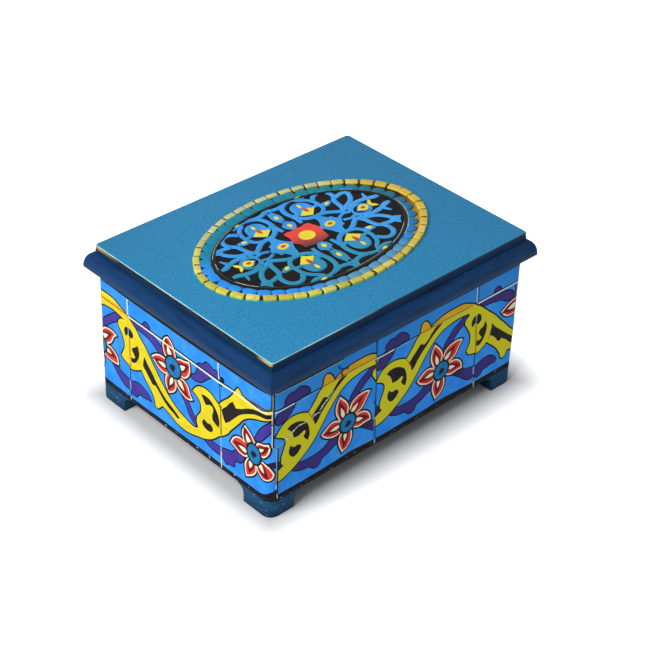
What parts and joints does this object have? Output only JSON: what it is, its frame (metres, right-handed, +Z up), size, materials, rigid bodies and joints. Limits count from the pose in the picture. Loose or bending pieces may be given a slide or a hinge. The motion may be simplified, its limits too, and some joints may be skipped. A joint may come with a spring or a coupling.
{
  "type": "keepsake box",
  "caption": "Rectangular wooden keepsake box on corner feet, with a hinged moulded lid, an oval relief plaque on it and walls covered in a scroll and flower print.",
  "frame": {"origin": "on the floor under the middle of the box", "axes": "+X along the long side to the right, +Y towards the hinges at the back, +Z up"},
  "size_m": [0.212, 0.164, 0.1117],
  "materials": {
    "charred_board_edge": "matte, darkened cut edge",
    "foot_paint": "brushed satin paint",
    "inner_paint": "matte paint",
    "printed_sheet": "satin laminated print",
    "moulding_paint": "brushed satin paint",
    "lid_paint": "fine speckled matte paint",
    "relief_plaque": "painted and varnished relief",
    "felt": "short felt",
    "brass": "satin"
  },
  "bodies": {
    "box": {"base_panel": "charred_board_edge", "foot_front_left": "foot_paint", "foot_front_right": "foot_paint", "foot_back_left": "foot_paint", "foot_back_right": "foot_paint", "wall_front": "inner_paint", "print_front": "printed_sheet", "wall_right": "inner_paint", "print_right": "printed_sheet", "wall_back": "inner_paint", "print_back": "printed_sheet", "wall_left": "inner_paint", "print_left": "printed_sheet", "floor_felt": "felt", "hinge_left_wall_leaf": "brass", "hinge_left_pin": "brass", "hinge_left_wall_screw_outer": "brass", "hinge_left_wall_screw_inner": "brass", "hinge_right_wall_leaf": "brass", "hinge_right_pin": "brass", "hinge_right_wall_screw_outer": "brass", "hinge_right_wall_screw_inner": "brass"},
    "lid": {"moulding_front": "moulding_paint", "moulding_right": "moulding_paint", "moulding_back": "moulding_paint", "moulding_left": "moulding_paint", "lid_panel": "lid_paint", "lid_medallion": "relief_plaque", "lid_felt": "felt", "hinge_left_lid_leaf": "brass", "hinge_left_lid_screw_outer": "brass", "hinge_left_lid_screw_inner": "brass", "hinge_right_lid_leaf": "brass", "hinge_right_lid_screw_outer": "brass", "hinge_right_lid_screw_inner": "brass"}
  },
  "joints": [
    {"name": "lid_hinge", "type": "hinge", "parent": "box", "child": "lid", "pos_m": [0, 0.0785, 0.09235], "axis": [-1, 0, 0], "range_deg": [0, 120]}
  ]
}
